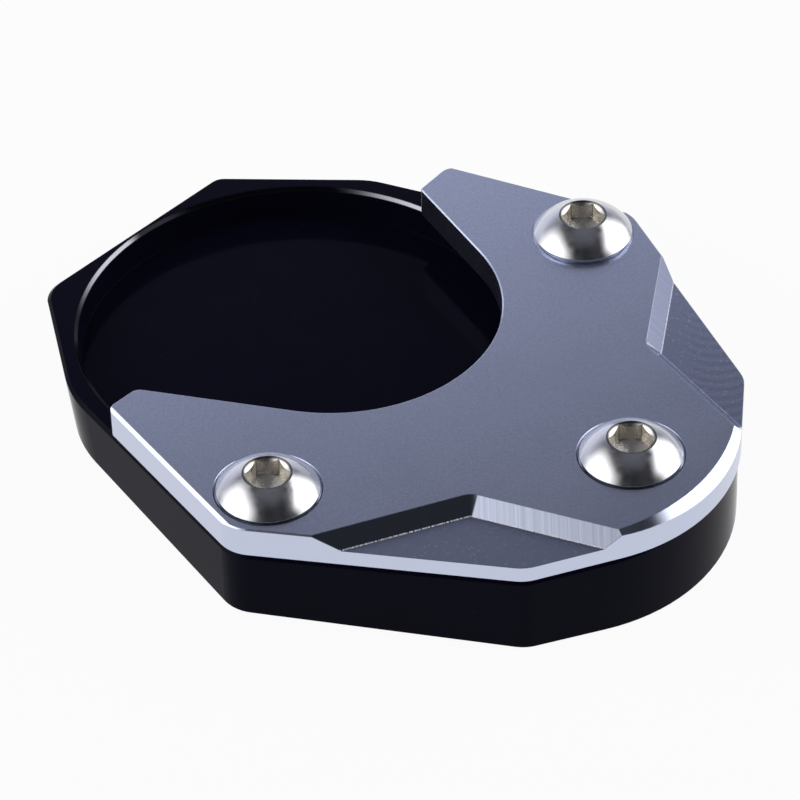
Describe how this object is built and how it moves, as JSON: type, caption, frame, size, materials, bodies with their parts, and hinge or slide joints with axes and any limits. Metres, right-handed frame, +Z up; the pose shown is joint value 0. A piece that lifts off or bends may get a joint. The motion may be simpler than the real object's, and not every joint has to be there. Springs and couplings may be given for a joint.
{
  "type": "kickstand foot enlarger",
  "caption": "Side-stand foot enlarger: a wedge-shaped black pan with a round pocket and a C-shaped silver clamp plate held by button-head screws.",
  "frame": {"origin": "point on the flat underside, between the two arm screws and midway between the outer sides of the arms", "axes": "+X along the body from the pan's heel to the rounded toe, +Y to the rear arm, +Z up out of the underside; the deck that carries the plate rises 2.6 degrees toward +X"},
  "size_m": [0.0769, 0.0642, 0.0145],
  "materials": {
    "black_anodised": "gloss black anodised",
    "silver_anodised": "fine satin, anodised",
    "stainless": "polished"
  },
  "bodies": {
    "root": {"base_pan": "black_anodised", "clamp_plate": "silver_anodised", "screw_front": "stainless", "screw_rear": "stainless", "screw_toe": "stainless"}
  },
  "joints": []
}
